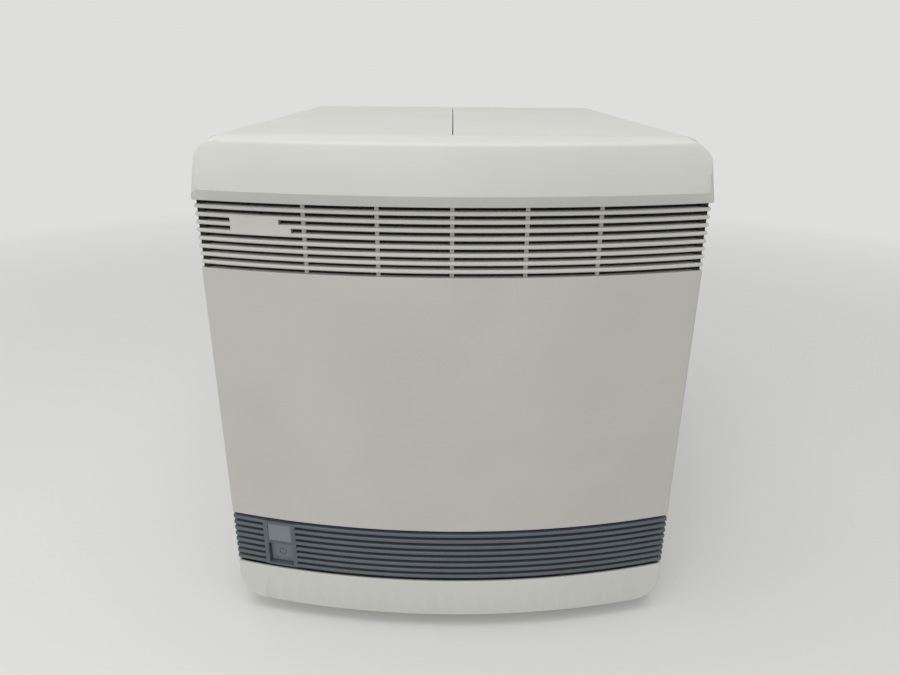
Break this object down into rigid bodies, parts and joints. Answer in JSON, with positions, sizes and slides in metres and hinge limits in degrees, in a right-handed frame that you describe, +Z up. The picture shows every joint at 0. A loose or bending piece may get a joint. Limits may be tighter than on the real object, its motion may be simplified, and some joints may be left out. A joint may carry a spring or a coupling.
{
  "type": "real-time pcr system",
  "caption": "Bench real-time PCR instrument: tall housing with a bowed, slatted front, side-loading plate tray, heated cover, scanning optics and rear fans.",
  "frame": {"origin": "middle of the footprint, on the plane that the feet stand on", "axes": "+Z up, front faces -Y, +X to the right when seen from the front"},
  "size_m": [0.648, 0.8399, 0.704],
  "materials": {
    "painted_shell": "light warm grey moulded foam, satin",
    "painted_sheet": "light warm grey powder coat",
    "louvre_grey": "blue-grey moulding",
    "window_tint": "smoked pane",
    "button_grey": "light grey moulding",
    "zinc_sheet": "zinc-plated folded sheet",
    "bare_aluminium": "machined",
    "black_anodised": "black anodised",
    "bright_steel": "ground",
    "fan_black": "moulded",
    "foam_black": "open-cell filter foam",
    "foot_rubber": "moulded",
    "board_green": "coated laminate",
    "lamp_clear": "diffused lamp",
    "ceramic_white": "ceramic plates",
    "lens_glass": "coated",
    "belt_rubber": "moulded",
    "data_metal": "pressed"
  },
  "bodies": {
    "housing": {"front_hood": "painted_shell", "upper_grille": "painted_shell", "front_panel": "painted_shell", "front_base_cap": "painted_shell", "lower_louvre": "louvre_grey", "air_filters": "foam_black", "indicator_window": "window_tint", "switch_board": "board_green", "button_spring": "bright_steel", "status_lamps": "lamp_clear", "left_cover": "painted_sheet", "right_cover": "painted_sheet", "access_cover": "painted_sheet", "base_pan": "zinc_sheet", "feet": "foot_rubber", "chassis": "zinc_sheet", "tray_deck": "bare_aluminium", "tray_rails": "bright_steel", "tray_motor": "black_anodised", "lift_motors": "black_anodised", "tray_belt": "belt_rubber", "sample_block": "bare_aluminium", "peltier_coolers": "ceramic_white", "heat_sink": "bare_aluminium", "fan_duct": "zinc_sheet", "laser_fan_frame": "fan_black", "box_fan_frame": "fan_black", "block_fan_frame": "fan_black", "lift_guides": "bright_steel", "optics_deck": "black_anodised", "scan_rail": "bright_steel", "spectrograph": "black_anodised", "ccd_camera": "black_anodised", "laser_head": "bare_aluminium", "power_supply": "zinc_sheet", "control_board": "board_green", "rear_panel": "painted_sheet", "rear_screws": "bright_steel", "fan_guards": "bright_steel", "power_inlet": "fan_black", "data_ports": "data_metal"},
    "tray": {"plate_tray": "bare_aluminium", "tray_runners": "black_anodised", "tray_front": "painted_shell", "plate_adapter": "black_anodised"},
    "drive_pulley": {"drive_pulley": "bare_aluminium"},
    "idler_pulley": {"idler_pulley": "bare_aluminium"},
    "lifting_cover": {"heated_cover": "black_anodised", "cover_window": "lens_glass", "lift_bridge": "bare_aluminium", "lift_rods": "bright_steel"},
    "scan_head": {"scan_carriage": "black_anodised", "objective": "black_anodised"},
    "button": {"power_button": "button_grey"},
    "rocker": {"mains_rocker": "fan_black"},
    "front_lock": {"front_lock_pin": "bright_steel"},
    "rear_lock": {"rear_lock_pin": "bright_steel"},
    "laser_fan": {"laser_fan_rotor": "fan_black"},
    "box_fan": {"box_fan_rotor": "fan_black"},
    "block_fan": {"block_fan_rotor": "fan_black"}
  },
  "joints": [
    {"name": "tray_slide", "type": "slide", "parent": "housing", "child": "tray", "axis": [1, 0, 0], "range_m": [0, 0.26]},
    {"name": "drive_pulley_turn", "type": "hinge", "parent": "housing", "child": "drive_pulley", "pos_m": [-0.081, -0.189, 0.315], "axis": [0, 0, 1], "range_deg": [-2280, 0]},
    {"name": "idler_pulley_turn", "type": "hinge", "parent": "housing", "child": "idler_pulley", "pos_m": [0.25, -0.189, 0.315], "axis": [0, 0, 1], "range_deg": [-2280, 0]},
    {"name": "heated_cover_lift", "type": "slide", "parent": "housing", "child": "lifting_cover", "axis": [0, 0, 1], "range_m": [0, 0.016]},
    {"name": "scan_slide", "type": "slide", "parent": "housing", "child": "scan_head", "axis": [1, 0, 0], "range_m": [0, 0.099]},
    {"name": "button_press", "type": "slide", "parent": "housing", "child": "button", "axis": [0.2096, 0.9778, 0], "range_m": [0, 0.003], "stiffness_N_per_m": 400, "springref_m": -0.002, "deforming": ["button_spring"]},
    {"name": "rocker_tilt", "type": "hinge", "parent": "housing", "child": "rocker", "pos_m": [0.146, 0.406, 0.09], "axis": [1, 0, 0], "range_deg": [0, 12]},
    {"name": "front_lock_turn", "type": "hinge", "parent": "housing", "child": "front_lock", "pos_m": [0.324, -0.202, 0.258], "axis": [1, 0, 0], "range_deg": [0, 90]},
    {"name": "rear_lock_turn", "type": "hinge", "parent": "housing", "child": "rear_lock", "pos_m": [0.324, -0.038, 0.258], "axis": [1, 0, 0], "range_deg": [0, 90]},
    {"name": "laser_fan_spin", "type": "hinge", "parent": "housing", "child": "laser_fan", "pos_m": [-0.215, 0.41, 0.11], "axis": [0, 1, 0], "continuous": true},
    {"name": "box_fan_spin", "type": "hinge", "parent": "housing", "child": "box_fan", "pos_m": [0.15, 0.41, 0.56], "axis": [0, 1, 0], "continuous": true},
    {"name": "block_fan_spin", "type": "hinge", "parent": "housing", "child": "block_fan", "pos_m": [0.14, -0.12, 0.244], "axis": [0, 0, 1], "continuous": true}
  ],
  "couplings": [
    {"joint": "drive_pulley_turn", "follows": "tray_slide", "rad_per_m": -152.67},
    {"joint": "idler_pulley_turn", "follows": "tray_slide", "rad_per_m": -152.67}
  ]
}
